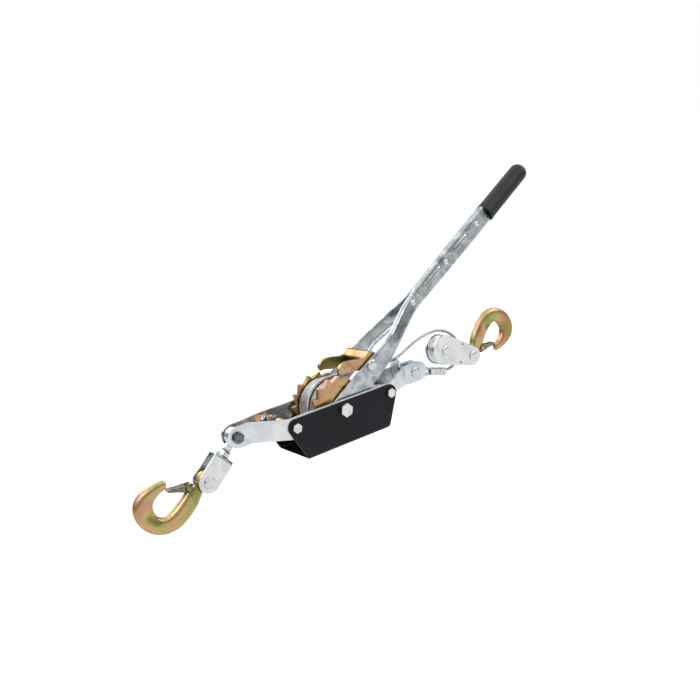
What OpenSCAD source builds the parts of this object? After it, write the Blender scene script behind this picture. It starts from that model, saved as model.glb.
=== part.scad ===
// Come along winch: a hand lever puller with a ratchet drum, a wire rope, a pulley block and two hooks.
// +X runs along the frame from the anchor hook to the pulley block, Z is up.
// The origin is the middle of the tray's flat underside.

/* [Frame] */
// Outer width over the tray's two walls
frame_w = 66; // [60:1:80]
// Height of the drum axle over the tray's underside
axle_h = 41; // [40:1:55]
// Half distance between the two tie bolts
tie_x = 65; // [62:1:80]
// Thickness of the tray's sheet
tray_t = 1.5; // [1:0.1:2]
// Radius of the tray's ears round the tie bolts
tray_ear_r = 9.5; // [8:0.5:11]
// How far the tray's foot stands in from its ears on each side
tray_taper = 7; // [0:1:12]
// Thickness of the side plates
plate_t = 3; // [2:0.5:4]
// Height of the side plates' top edge over the axle
plate_top = 11.5; // [10:0.5:14]
// Depth of the side plates' bottom edge under the axle
plate_drop = 12; // [10:0.5:14]
// Where the flares towards the noses start, from the axle
flare_start = 72; // [70:1:84]
// Length of one flare along the frame
flare_len = 36; // [30:1:44]
// Length of a nose from the flare's end to its bolt
nose_len = 16; // [14:1:24]
// Radius of the rounded noses
nose_r = 12; // [11:0.5:14]
// Height of the nose bolts over the axle
nose_rise = 4.7; // [0:0.1:8]
// How much farther the rear noses reach past their pin
rear_reach = 5.5; // [0:0.5:8]
// Free gap between the two noses
nose_gap = 12; // [11.8:0.1:15]
// Inner radius of the bends in the side plates
plate_bend_r = 3; // [2:0.5:6]

/* [Bolts] */
// Radius of the axle bolt, the nose bolt and the big pins
pin_r = 4; // [3.5:0.1:4.5]
// Radius of the two tie bolts
tie_r = 3; // [2.5:0.1:3.5]
// Radial play of a piece that turns on a pin
run_fit = 0.05; // [0.02:0.01:0.1]
// Width of the big hexagons over their flats
big_hex = 14; // [12:0.5:15]
// Width of the small hexagons over their flats
small_hex = 10; // [9:0.5:12]

/* [Drum] */
// Radius over the ratchet teeth
wheel_r = 37.5; // [36:0.5:38.5]
// Depth of the ratchet teeth
tooth_depth = 5.5; // [4.5:0.1:6]
// Number of ratchet teeth
teeth = 16; // [16:1:16]
// Thickness of a ratchet wheel
wheel_t = 6; // [5:0.5:6.5]
// Gap between the two ratchet wheels
drum_gap = 36; // [34:0.5:37]
// Radius of the drum's core
core_r = 28.2; // [24:0.1:28.5]
// Diameter of the wire rope
rope_d = 4; // [3:0.1:4.2]
// Turns of rope in the top layer
rope_turns = 7; // [5:1:7]
// Angle of the first tooth's point
tooth_phase = 81.5; // [81.5:0.5:81.5]

/* [Handle] */
// Angle of the handle over the frame
handle_angle = 31.2; // [31:0.1:45]
// Length of the handle from the axle to the grip's end
handle_len = 420; // [380:5:480]
// Thickness of the handle's sheet
handle_t = 2.5; // [2:0.1:2.6]
// Half width of the handle's two flat arms
arm_half = 11.5; // [10:0.5:13]
// Where the arms start to close in on each other
fork_start = 95; // [90:1:105]
// Where the two halves meet in one shaft
fork_end = 166; // [150:1:190]
// Width of the closed shaft
shaft_w = 15; // [14:0.5:16]
// Height of the closed shaft
shaft_h = 16; // [15:0.5:18]
// Height of the shaft inside the grip
tang_h = 13; // [12:0.5:13.5]
// Offset of the shaft over the handle's own line where the halves meet
shaft_offset = 6; // [3:0.5:8]
// Length of the grip
grip_len = 90; // [80:5:120]
// Radius of the grip
grip_r = 11.3; // [10.8:0.1:13]

/* [Pawls] */
// Distance of the drive pawl's pin from the axle
pawl_pin_dist = 63.3; // [62:0.1:65]
// Angle of the drive pawl's pin over the handle's own line
pawl_pin_lead = 5; // [4:0.5:6]
// Thickness of the drive pawl's cheeks
cheek_t = 5; // [4:0.1:5.2]
// Thickness of the stop pawl's arms
stop_t = 5; // [4:0.5:5.5]
// Wire diameter of the pawl springs
spring_wire = 1.6; // [1.2:0.1:1.8]

/* [Hooks] */
// Distance from a hook's eye to the middle of its bowl
hook_reach = 55; // [48:0.5:60]
// Radius of the bowl's middle line
bowl_r = 22.5; // [20:0.5:26]
// Half width of the hook's back at its thickest
hook_half = 10.3; // [9:0.1:11]
// Half thickness of the hook
hook_thick = 5.8; // [5:0.1:5.8]
// Outer radius of a hook's eye
eye_r = 12; // [11:0.5:12.5]
// Angle at which the anchor hook lies
front_hook_angle = 189.7; // [180:0.1:230]
// Angle at which the load hook lies
rear_hook_angle = 23; // [0:0.1:60]
// Thickness of the latches' sheet
latch_t = 1.2; // [1:0.1:1.4]

/* [Swivel] */
// Angle at which the swivel hangs from the nose bolt
swivel_angle = 220.4; // [200:0.1:240]
// Distance from the nose bolt to the yoke's pin
swivel_len = 56; // [54:0.5:64]
// Distance from the yoke's pin to its closed end
yoke_len = 31.4; // [30:0.1:34]
// Width of the yoke's strap
yoke_w = 24; // [22:0.5:26]
// Thickness of the yoke's strap
yoke_t = 3; // [2.5:0.1:3.5]
// Radius of the swivel's neck
neck_r = 4; // [3.5:0.1:4.5]

/* [Block] */
// Distance of the sheave's axle along the frame
block_x = 176.5; // [170:0.1:190]
// Height of the sheave's axle over the drum's axle
block_z = 18; // [10:0.1:25]
// Distance from the sheave's axle to the hook's pin
block_len = 47.5; // [47:0.5:60]
// Angle at which the block hangs
block_angle = -24.5; // [-40:0.5:0]
// Radius of the block's big end
block_big_r = 19.2; // [19:0.1:21]
// Radius of the block's small end
block_small_r = 12; // [11.5:0.5:13]
// Thickness of the block's plates
block_t = 2.5; // [2:0.1:3]
// Free gap between the block's plates
block_gap = 12.6; // [12.4:0.1:14]
// Radius of the sheave
sheave_r = 18.5; // [17:0.1:18.6]
// Thickness of the sheave
sheave_t = 10; // [8:0.5:11]

/* [Hidden] */
$fn = 48;

// colours of the finishes
zinc = [0.80, 0.83, 0.86];
zinc_dark = [0.55, 0.58, 0.62];
chromate = [0.80, 0.68, 0.42];
powder = [0.08, 0.08, 0.10];
rubber = [0.06, 0.06, 0.07];
wire = [0.68, 0.69, 0.70];

seat = 0.1;              // gap between two pieces of one body that lie on each other
side_play = 0.3;         // gap between two bodies that pass each other
eps = 0.5;               // overlap of two shapes that are joined in one solid

// frame
wall_y = frame_w / 2 - tray_t;           // outer face of the side plates
inner_y = wall_y - plate_t;              // inner face of the side plates
nose_x = flare_start + flare_len + nose_len;
nose_y = nose_gap / 2 + plate_t;         // outer face of a nose
tray_bend_r = 5;
head_h = 4;
big_head_h = 5.5;
nut_h = 5;
big_nut_h = 6.5;
nose_hex = 11;
washer_t = 1.4;
washer_r = 9;

// drum
wheel_in = drum_gap / 2;
wheel_out = wheel_in + wheel_t;
root_r = wheel_r - tooth_depth;
pitch_angle = 360 / teeth;
tooth_lead = 5;                          // a tooth's valley lies this far before its point
hub_r = 9;                               // the core's ends that carry the wheels
rope_r = rope_d / 2;
layer_r = core_r + rope_r + seat;        // middle line of the wound layer
layer_half = wheel_in - rope_r - 0.4;    // half width of the wound layer's middle line
layer_pitch = 2 * layer_half / rope_turns;
wrap_r = layer_r + rope_d + side_play;   // middle line of the rope that runs off over the layer

// handle
arm_out = inner_y - 0.7;                 // outer face of the arms
arm_in = arm_out - handle_t;
shaft_half = shaft_w / 2;
grip_start = handle_len - grip_len;
rivet_at = [fork_end + 4, 236, grip_start - 22];   // distances of the rivets and grooves from the axle
bead_at = [193, 259];
bead_len = [31, 24];
bead_half = 2.6;

// drive pawl
pin_angle = handle_angle + pawl_pin_lead;
pawl_pin = [pawl_pin_dist * cos(pin_angle), pawl_pin_dist * sin(pin_angle)];
cheek_out = wheel_out - 0.4;
spring_in = wheel_in - 10;               // inner end of both pawl springs, so that they end inside the claws
spring_out = spring_in + 4 * (spring_wire + 0.6);

// stop pawl
stop_hub_half = wheel_out + 0.7;
stop_tooth = tooth_phase + 6 * pitch_angle;      // the tooth that the stop pawl holds

// swivel and yoke
yoke_in = hook_thick + 0.4;              // half gap of the yoke
yoke_out = yoke_in + yoke_t;
swivel_eye_r = 10.5;
head_r = 5.3;                            // the swivel's rivet head inside the yoke
yoke_at = [swivel_len * cos(swivel_angle) - nose_x, nose_rise + swivel_len * sin(swivel_angle)];

// hooks
bowl_mid = [hook_reach, -2];
back_angle = 27;                         // direction of the hook's straight back
bowl_end = -48;                          // where the bowl's arc gives way to the tighter point
point_r = 10;
pivot_at = [21.5, -4.5];                 // latch pivot in a hook's own frame
pivot_r = 1.6;
boss_half = 3.6;
boss_r = 4.6;
latch_wire = 1;
coil_r = boss_r + latch_wire / 2 + 0.75;    // middle line of the latch spring round the boss
latch_len = hook_reach - 29.5;
latch_angle = -16.5;
latch_half = 3.1;
throat_tip = [hook_reach - 5.5, -20.2];  // middle of the hook's point

// block
block_in = block_gap / 2;
block_out = block_in + block_t;
block_pin_at = [block_x + block_len * cos(block_angle), block_z + block_len * sin(block_angle)];
axle_head_r = 5.2;                       // head of the sheave's axle
pin_head_r = 6.2;                        // heads of the block's pin, the anchor pin and the yoke's pin
rivet_h = 1.8;
dimple_at = [[29, 24.5], [30.6, -21]];  // distance from the sheave's axle and angle

// rope
thimble_r = 6.6;                         // bottom of the thimble's groove
guide_z = 27;                            // height of the rope in the guide's notch
wrap_y = -6;                             // where the rope leaves the drum
// angle where the rope leaves the top wrap for the guide
leave = acos(wrap_r / norm([flare_start + flare_len - 6, guide_z]))
    + atan2(guide_z, flare_start + flare_len - 6);
wrap_from = 250;                         // angle where the top wrap comes out from under the drum
eye_line_r = thimble_r + rope_r + 0.2;   // middle line of the rope round the thimble
ferrule_angle = -16.5;
ferrule_from = 30;                       // distance of the ferrule from the anchor pin
ferrule_len = 26;
strand = rope_r + 0.15;                  // half distance of the two strands in the ferrule

// ---------- helpers ----------
function unit(v) = v / norm(v);
function polar(r, a) = [r * cos(a), r * sin(a)];
function turned(p, a) = [p[0] * cos(a) - p[1] * sin(a), p[0] * sin(a) + p[1] * cos(a)];

// points of a fillet of radius r at corner b of the path a-b-c
function fillet(a, b, c, r, n) =
    let(u = unit(a - b), v = unit(c - b), half = acos(u * v) / 2, sweep = 180 - 2 * half)
    let(m = b + unit(u + v) * r / sin(half), s = b + u * r / tan(half) - m, e = b + v * r / tan(half) - m)
    [for (k = [0:n]) m + (s * sin(sweep * (1 - k / n)) + e * sin(sweep * k / n)) / sin(sweep)];

// closed outline with its corners rounded, each corner is [x, y, radius]
function rounded(p, n = 6) =
    let(q = [for (c = p) [c[0], c[1]]], m = len(p))
    [for (i = [0:m - 1])
        each p[i][2] > 0 ? fillet(q[(i + m - 1) % m], q[i], q[(i + 1) % m], p[i][2], n) : [q[i]]];

// direction of a path at point i
function heading(p, i) = unit(p[min(i + 1, len(p) - 1)] - p[max(i - 1, 0)]);

// solid swept along a path that never runs along Y, with half sizes [in plane, across] at each point
module sweep(path, half, sides, turn = 0) {
    n = len(path);
    points = [for (i = [0:n - 1])
        let(t = heading(path, i), u = unit(cross(t, [0, 1, 0])), v = cross(u, t))
        for (k = [0:sides - 1])
            let(a = 360 * (k + turn) / sides)
            path[i] + u * half[i][0] * cos(a) + v * half[i][1] * sin(a)];
    sides_faces = [for (i = [0:n - 2], k = [0:sides - 1])
        let(a = i * sides + k, b = i * sides + (k + 1) % sides)
        each [[a, b, a + sides], [b, b + sides, a + sides]]];
    start = [for (k = [1:sides - 2]) [0, k + 1, k]];
    end = [for (k = [1:sides - 2]) [(n - 1) * sides, (n - 1) * sides + k, (n - 1) * sides + k + 1]];
    polyhedron(points, concat(sides_faces, start, end));
}

// round wire along a path
module wire_along(path, r, sides = 6) {
    sweep(path, [for (p = path) [r, r]], sides, 0.5);
}

// lifts a shape drawn round the drum's axle to its place over the tray's underside
module place() {
    translate([0, 0, axle_h]) children();
}

// extrudes a side view from y0 to y1
module side(y0, y1) {
    translate([0, y1, 0]) rotate([90, 0, 0]) linear_extrude(y1 - y0) children();
}

// round bar across the winch at a point of the side view
module bar(at, y0, y1, r) {
    translate([at[0], y1, at[1]]) rotate([90, 0, 0]) cylinder(h = y1 - y0, r = r);
}

// hexagon across the winch
module hexagon(at, y0, y1, flats) {
    translate([at[0], y1, at[1]]) rotate([90, 0, 0]) rotate([0, 0, 12])
        cylinder(h = y1 - y0, r = flats / sqrt(3), $fn = 6);
}

// button head of a rivet that stands out towards dir
module rivet_head(at, y, dir, r, h) {
    translate([at[0], y, at[1]]) rotate([-90 * dir, 0, 0])
        rotate_extrude() polygon([[0, 0], [r, 0], [r, h * 0.35], [r * 0.8, h * 0.8], [r * 0.45, h], [0, h]]);
}

// ---------- frame ----------
// side view of a side plate
module plate_outline() {
    top = nose_rise + nose_r;
    bottom = nose_rise - nose_r;
    ends = nose_x + nose_r;
    round_r = nose_r - 0.05;
    flare_end = flare_start + flare_len;
    right = [
        [flare_start, plate_top, 0], [flare_end, top, 20], [ends + rear_reach, top, round_r],
        [ends + rear_reach, bottom, round_r], [flare_end + 4, bottom, 20],
        [flare_start + 24, -5, 10], [flare_start + 8, -3, 6], [flare_start, -6, 4],
        [flare_start - 8, -plate_drop, 4]
    ];
    left = [
        [-flare_start, -plate_drop, 0], [-flare_end, bottom, 20], [-ends, bottom, round_r],
        [-ends, top, round_r], [-flare_end, top, 20], [-flare_start, plate_top, 0]
    ];
    polygon(rounded(concat(right, left), 10));
}

// plan view of a side plate, its outer face towards +Y
module plate_plan() {
    a = atan2(wall_y - nose_y, flare_len);
    back = plate_t * tan(a / 2);
    in_r = plate_bend_r;
    out_r = plate_bend_r + plate_t;
    ends = nose_x + nose_r + rear_reach;
    flare_end = flare_start + flare_len;
    outer = [[flare_start, wall_y, out_r], [flare_end, nose_y, in_r], [ends, nose_y, 0]];
    inner = [
        [ends, nose_y - plate_t, 0],
        [flare_end - back, nose_y - plate_t, out_r],
        [flare_start - back, inner_y, in_r]
    ];
    right = concat(outer, inner);
    left = [for (i = [5:-1:0]) [-right[i][0], right[i][1], right[i][2]]];
    polygon(rounded(concat(
        [for (i = [0:2]) right[i]], [for (i = [3:5]) right[i]],
        [for (i = [0:2]) left[i]], [for (i = [3:5]) left[i]]), 4));
}

module side_plate(dir) {
    place() difference() {
        intersection() {
            translate([0, 0, -60]) linear_extrude(120) scale([1, dir]) plate_plan();
            side(-frame_w, frame_w) plate_outline();
        }
        bar([0, 0], -frame_w, frame_w, pin_r + run_fit);
        for (x = [-tie_x, tie_x]) bar([x, 0], -frame_w, frame_w, tie_r + run_fit);
        for (x = [-nose_x, nose_x]) bar([x, nose_rise], -frame_w, frame_w, pin_r + run_fit);
    }
}

module near_side_plate() {
    color(zinc) side_plate(-1);
}

module far_side_plate() {
    color(zinc) side_plate(1);
}

// side view of the tray
module tray_outline() {
    foot_x = tie_x - tray_taper;
    hull() {
        for (x = [-tie_x, tie_x]) translate([x, 0]) circle(tray_ear_r);
        for (x = [-1, 1]) translate([x * (foot_x - tray_bend_r), tray_bend_r - axle_h]) circle(tray_bend_r);
    }
}

module tray() {
    in_r = tray_bend_r - tray_t;
    half = frame_w / 2;
    color(powder) place() difference() {
        intersection() {
            rotate([90, 0, 90]) translate([0, 0, -100]) linear_extrude(200) difference() {
                polygon(rounded([[-half, 20, 0], [-half, -axle_h, tray_bend_r],
                    [half, -axle_h, tray_bend_r], [half, 20, 0]], 8));
                polygon(rounded([[tray_t - half, 21, 0], [tray_t - half, tray_t - axle_h, in_r],
                    [half - tray_t, tray_t - axle_h, in_r], [half - tray_t, 21, 0]], 8));
            }
            side(-half - 1, half + 1) tray_outline();
        }
        bar([0, 0], -frame_w, frame_w, pin_r + run_fit);
        for (x = [-tie_x, tie_x]) bar([x, 0], -frame_w, frame_w, tie_r + run_fit);
    }
}

// bolt with a hexagon head on the near side
module bolt(at, y_head, y_end, r, flats, height) {
    bar(at, y_head - eps, y_end, r);
    difference() {
        hexagon(at, y_head - height, y_head, flats);
        translate([at[0], y_head - height, at[1]]) rotate([90, 0, 0])
            rotate_extrude() polygon([[flats / 2, 1], [flats / 2 + 3, 1], [flats / 2 + 3, -1.5]]);
    }
}

module hex_nut(at, y0, height, r, flats) {
    difference() {
        hexagon(at, y0, y0 + height, flats);
        bar(at, y0 - 1, y0 + height + 1, r + run_fit);
        translate([at[0], y0 + height, at[1]]) rotate([-90, 0, 0])
            rotate_extrude() polygon([[flats / 2, 1], [flats / 2 + 3, 1], [flats / 2 + 3, -1.5]]);
    }
}

module tie_bolts() {
    y = frame_w / 2 + seat;
    color(zinc) place() for (x = [-tie_x, tie_x])
        bolt([x, 0], -y, y + nut_h + 2, tie_r, small_hex, head_h);
}

module tie_nuts() {
    color(zinc) place() for (x = [-tie_x, tie_x])
        hex_nut([x, 0], frame_w / 2 + seat, nut_h, tie_r, small_hex);
}

// sleeves that keep the side plates apart: a long one at the back, two short ones beside the stop pawl
module tie_spacers() {
    sleeve_r = tie_r + 2.6;
    far = inner_y - seat;
    color(zinc) place() difference() {
        union() {
            bar([tie_x, 0], -far, far, sleeve_r);
            for (d = [-1, 1])
                bar([-tie_x, 0], d > 0 ? stop_hub_half + seat : -far, d > 0 ? far : -stop_hub_half - seat, sleeve_r);
        }
        for (x = [-tie_x, tie_x]) bar([x, 0], -frame_w, frame_w, tie_r + run_fit);
    }
}

module axle_bolt() {
    y = frame_w / 2 + seat;
    color(zinc) place() {
        bolt([0, 0], -y, y + washer_t + big_nut_h + 3, pin_r, big_hex, big_head_h);
    }
}

module axle_nut() {
    y = frame_w / 2 + seat;
    color(zinc) place() {
        difference() {
            bar([0, 0], y, y + washer_t + eps, washer_r);
            bar([0, 0], y - 1, y + 10, pin_r + run_fit);
        }
        hex_nut([0, 0], y + washer_t, big_nut_h, pin_r, big_hex);
    }
}

module nose_bolt() {
    y = nose_y + seat;
    color(zinc_dark) place() bolt([-nose_x, nose_rise], -y, y + nut_h + 2, pin_r, nose_hex, head_h);
}

module nose_nut() {
    color(zinc_dark) place() hex_nut([-nose_x, nose_rise], nose_y + seat, nut_h, pin_r, nose_hex);
}

module anchor_pin() {
    at = [nose_x, nose_rise];
    y = nose_y + seat;
    color(zinc) place() {
        bar(at, -y - eps, y + eps, pin_r);
        for (d = [-1, 1]) rivet_head(at, d * y, d, pin_head_r, rivet_h);
    }
}

// plate across the rear flares, with the notch that the rope rides in
module cable_guide() {
    x = flare_start + flare_len - 5;
    y_in = inner_y - (x - flare_start + 3) * (wall_y - nose_y) / flare_len;
    foot = y_in - 0.3;
    head = foot + 2.2;
    shoulder = nose_rise + nose_r + 1;
    top = guide_z + 1;
    color(zinc) place() difference() {
        translate([x - 2.5, 0, 0]) rotate([90, 0, 90]) linear_extrude(2.5) polygon(rounded([
            [-foot, -3, 2], [foot, -3, 2], [foot, shoulder, 0], [head, shoulder, 0.8],
            [head, top, 3], [-head, top, 3], [-head, shoulder, 0.8], [-foot, shoulder, 0]], 5));
        translate([x - 10, 0, guide_z]) rotate([0, 90, 0]) cylinder(h = 20, r = rope_r + 0.15);
        translate([x - 10, -rope_r - 0.15, guide_z]) cube([20, rope_d + 0.3, 20]);
        translate([x - 10, 0, 4]) rotate([0, 90, 0]) cylinder(h = 20, r = 4);
    }
}

// ---------- drum ----------
module drum_core() {
    half = wheel_in - seat;
    color(chromate) place() difference() {
        union() {
            bar([0, 0], -half, half, core_r);
            bar([0, 0], -wheel_out - 0.4, wheel_out + 0.4, hub_r);
        }
        bar([0, 0], -frame_w, frame_w, pin_r + run_fit);
    }
}

module wheel_outline() {
    polygon([for (k = [0:teeth - 1])
        let(a = tooth_phase + k * pitch_angle)
        each [polar(root_r, a - tooth_lead), polar(wheel_r, a - 1.5), polar(wheel_r, a + 1)]]);
}

module ratchet_wheel(dir) {
    y0 = dir > 0 ? wheel_in : -wheel_out;
    color(chromate) place() difference() {
        side(y0, y0 + wheel_t) wheel_outline();
        bar([0, 0], -frame_w, frame_w, hub_r + 0.02);
        translate([0, dir * (wheel_out - 0.8), 0]) rotate([-90 * dir, 0, 0]) difference() {
            cylinder(h = 2, r = root_r - 6);
            translate([0, 0, -1]) cylinder(h = 4, r = hub_r + 4);
        }
    }
}

module near_ratchet_wheel() {
    ratchet_wheel(-1);
}

module far_ratchet_wheel() {
    ratchet_wheel(1);
}

function layer_point(turn) =
    [layer_r * cos(360 * turn), (turn / rope_turns - 0.5) * 2 * layer_half, layer_r * sin(360 * turn)];

// straight end of the wound layer, one rope diameter long
function layer_end(turn, back) =
    layer_point(turn) + unit(layer_point(turn + back) - layer_point(turn)) * rope_d;

layer_rings = 24;
layer_path = concat(
    [layer_end(0, -0.01)],
    [for (k = [0:layer_rings * rope_turns]) layer_point(k / layer_rings)],
    [layer_end(rope_turns, 0.01)]);

echo(wound_cable_gap = min([for (k = [layer_rings:layer_rings * rope_turns])
    norm(layer_point(k / layer_rings) - layer_point(k / layer_rings - 1))]) - rope_d);

module wound_cable() {
    color(wire) place() wire_along(layer_path, rope_r);
}

module axle_washers() {
    gap = arm_in - wheel_out - 0.4;
    color(zinc) place() for (d = [-1, 1]) difference() {
        bar([0, 0], d > 0 ? wheel_out + 0.4 + seat : seat - arm_in, d > 0 ? arm_in - seat : -wheel_out - 0.4 - seat, 8);
        bar([0, 0], -frame_w, frame_w, pin_r + run_fit);
    }
}

// ---------- handle ----------
// height of the shaft's middle over the handle's line at distance r
function shaft_mid(r) = shaft_offset * (handle_len - r) / (handle_len - fork_end);

// turns a shape drawn along +X into the handle's direction
module along_handle() {
    place() rotate([0, -handle_angle, 0]) children();
}

// section of the pressed channel at distance r: a web at y = -out with two flanges of depth d
function channel(r, out, d, top, bottom) =
    let(t = handle_t, ro = 4, ri = ro - t)
    let(outer = concat([[-out + d, top]],
            [for (a = [90:45:180]) [-out + ro + ro * cos(a), top - ro + ro * sin(a)]],
            [for (a = [180:45:270]) [-out + ro + ro * cos(a), bottom + ro + ro * sin(a)]],
            [[-out + d, bottom]]))
    let(inner = concat([[-out + d, bottom + t]],
            [for (a = [270:-45:180]) [-out + ro + ri * cos(a), bottom + ro + ri * sin(a)]],
            [for (a = [180:-45:90]) [-out + ro + ri * cos(a), top - ro + ri * sin(a)]],
            [[-out + d, top - t]]))
    [for (p = concat(outer, inner)) [r, p[0], p[1]]];

// solid through sections of equal point count
module loft(sections) {
    n = len(sections);
    m = len(sections[0]);
    points = [for (s = sections) each s];
    around = [for (i = [0:n - 2], k = [0:m - 1])
        let(a = i * m + k, b = i * m + (k + 1) % m)
        each [[a, a + m, b], [b, a + m, b + m]]];
    half = m / 2;
    first = [for (k = [0:half - 2]) each [[k, k + 1, m - 1 - k], [k + 1, m - 2 - k, m - 1 - k]]];
    last = [for (f = first) [f[0] + (n - 1) * m, f[2] + (n - 1) * m, f[1] + (n - 1) * m]];
    polyhedron(points, concat(around, first, last));
}

handle_sections =
    let(full = shaft_half - seat / 2, mid = shaft_mid(fork_end))
    [
        channel(fork_start - 7, arm_out, 4.2, arm_half, -arm_half),
        channel(fork_start + 2, arm_out, 7.4, arm_half + 0.6, -arm_half + 0.8),
        channel(fork_start + 15, arm_out - 3, 7.6, arm_half + 3, -arm_half + 3),
        channel((fork_start + fork_end) / 2, (arm_out + shaft_half) / 2, 7.6, arm_half + 5, -arm_half + 5.4),
        channel(fork_end - 15, shaft_half + 3, 7.5, arm_half + 4.6, -arm_half + 6.2),
        channel(fork_end, shaft_half, full, mid + shaft_h / 2 + 0.6, mid - shaft_h / 2 - 1.4),
        channel(grip_start - 12, shaft_half, full,
            shaft_mid(grip_start) + shaft_h / 2, shaft_mid(grip_start) - shaft_h / 2),
        channel(grip_start - 2, shaft_half, full,
            shaft_mid(grip_start) + tang_h / 2, shaft_mid(grip_start) - tang_h / 2),
        channel(handle_len - 10, shaft_half, full,
            shaft_mid(handle_len) + tang_h / 2, shaft_mid(handle_len) - tang_h / 2)
    ];

// flat arm from the axle to the start of the channel
module arm_outline() {
    hub = arm_half + 1.5;
    polygon(rounded([
        [-hub, hub, hub - 0.1], [24, hub + 1.5, 30], [fork_start - 4, arm_half, 0],
        [fork_start - 4, -arm_half, 0], [24, -hub, 30], [-hub, -hub, hub - 0.1]], 8));
}

module handle_half() {
    difference() {
        union() {
            along_handle() side(-arm_out, -arm_in) arm_outline();
            along_handle() loft(handle_sections);
        }
        place() bar([0, 0], -frame_w, frame_w, pin_r + run_fit);
        place() bar(pawl_pin, -frame_w, frame_w, pin_r + run_fit);
        along_handle() for (r = rivet_at) bar([r, shaft_mid(r)], -frame_w, frame_w, 2.6);
        for (i = [0, 1]) along_handle() bead(bead_at[i], bead_len[i]);
    }
}

// groove pressed into the web of a half, from distance r on
module bead(r, length) {
    drop = shaft_mid(r) - shaft_mid(r + length);
    for (k = [0, length])
        translate([r + k, -shaft_half - 1.6, shaft_mid(r + k)]) sphere(r = bead_half);
    translate([r, -shaft_half - 1.6, shaft_mid(r)]) rotate([0, 90 + atan2(drop, length), 0])
        cylinder(h = length, r = bead_half);
}

module near_handle_half() {
    color(zinc) handle_half();
}

module far_handle_half() {
    color(zinc) mirror([0, 1, 0]) handle_half();
}

module handle_rivets() {
    color(zinc) along_handle() for (r = rivet_at) {
        at = [r, shaft_mid(r)];
        out = shaft_half + seat;
        bar(at, -out - 0.3, out + 0.3, 2.5);
        for (d = [-1, 1]) rivet_head(at, d * out, d, 4, 1.6);
    }
}

module grip() {
    r = grip_r;
    mid = shaft_mid(handle_len - grip_len / 2);
    lip = 1.2;
    profile = concat(
        [[0, 0], [r + lip, 0], [r + lip, 3], [r, 5.5]],
        [[r, grip_len - 8]],
        [for (a = [15:15:90]) [r - 8 + 8 * cos(a), grip_len - 8 + 8 * sin(a)]],
        [[0, grip_len]]);
    color(rubber) along_handle() difference() {
        translate([grip_start, 0, mid]) rotate([0, 90, 0]) rotate_extrude() polygon(profile);
        loft_void();
    }
}

// space in the grip for the two tangs
module loft_void() {
    w = shaft_half + 0.08;
    h = tang_h / 2 + 0.08;
    translate([0, w, 0]) rotate([90, 0, 0]) linear_extrude(2 * w) polygon([
        [grip_start - 4, shaft_mid(grip_start) + h], [handle_len - 9.9, shaft_mid(handle_len) + h],
        [handle_len - 9.9, shaft_mid(handle_len) - h], [grip_start - 4, shaft_mid(grip_start) - h]]);
}

module pawl_pin() {
    y = arm_out + seat;
    color(zinc) place() {
        bar(pawl_pin, -y - eps, y + eps, pin_r);
        for (d = [-1, 1]) rivet_head(pawl_pin, d * y, d, 6.5, 2);
    }
}

// ---------- pawls ----------
// side view of the drive pawl's cheek, drawn where it rests over the teeth
module cheek_outline() {
    polygon(rounded([
        [8.3, 37.6, 0], [7.3, 41, 1], [8.6, 45, 4], [12.6, 48.4, 5], [18.5, 49.8, 8], [25, 49.6, 0],
        [32, 48.5, 0], [40, 46.6, 10], [46, 48.5, 4], [52, 53.5, 3], [57, 52.5, 3], [64, 46, 5],
        [62, 36, 5], [56, 29.5, 5], [48, 29.5, 5], [42, 33.5, 6], [36, 35.2, 8], [31, 35.6, 0],
        [21.7, 35.9, 8], [17, 37.3, 6], [13.5, 38, 0], [10.2, 37.9, 0]], 5));
}

// sheet across the two cheeks, bent up as a thumb tab
module pawl_web() {
    polygon(rounded([
        [44, 47.4, 0], [46, 48.1, 4], [52, 53.1, 3], [57, 52.1, 3], [63.6, 45.9, 5], [62.9, 42, 0],
        [59.9, 42, 0], [60.4, 45, 3], [55.8, 49.2, 1.5], [52.8, 49.6, 1.5], [47.6, 45.4, 1.5], [44.4, 44.4, 0]], 5));
}

module drive_pawl() {
    color(chromate) place() difference() {
        union() {
            for (d = [-1, 1]) side(d > 0 ? cheek_out - cheek_t : -cheek_out, d > 0 ? cheek_out : cheek_t - cheek_out)
                cheek_outline();
            side(-cheek_out + eps, cheek_out - eps) pawl_web();
            for (d = [-1, 1]) rivet_head([20.9, 41.9], d * (cheek_out - 0.1), d, 5.2, 0.8);
        }
        bar(pawl_pin, -frame_w, frame_w, pin_r + run_fit);
    }
}

// points of a coil about a bar at a point of the side view, from y0 to y1
function coil(at, r, y0, y1, turns, from) =
    [for (k = [0:8 * turns])
        let(a = from + 45 * k)
        [at[0] + r * cos(a), y0 + (y1 - y0) * k / (8 * turns), at[1] + r * sin(a)]];

// straight leg that leaves a coil at its first point (dir -1) or its last (dir 1)
function leg(path, dir, length) =
    let(n = len(path) - 1, a = dir < 0 ? path[0] : path[n], b = dir < 0 ? path[1] : path[n - 1])
    let(t = unit([a[0] - b[0], 0, a[2] - b[2]]))
    [for (s = [0.5, 1]) a + t * length * s];

module torsion_spring(at, r, y0, y1, turns, from, leg_a, leg_b) {
    c = coil(at, r, y0, y1, turns, from);
    a = leg(c, -1, leg_a);
    b = leg(c, 1, leg_b);
    wire_along(concat([a[1], a[0]], c, b), spring_wire / 2);
}

module drive_pawl_spring() {
    color(zinc_dark) place() torsion_spring(pawl_pin, pin_r + spring_wire / 2 + 0.3,
        spring_in, spring_out, 4, 20, 5, 5);
}

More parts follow.
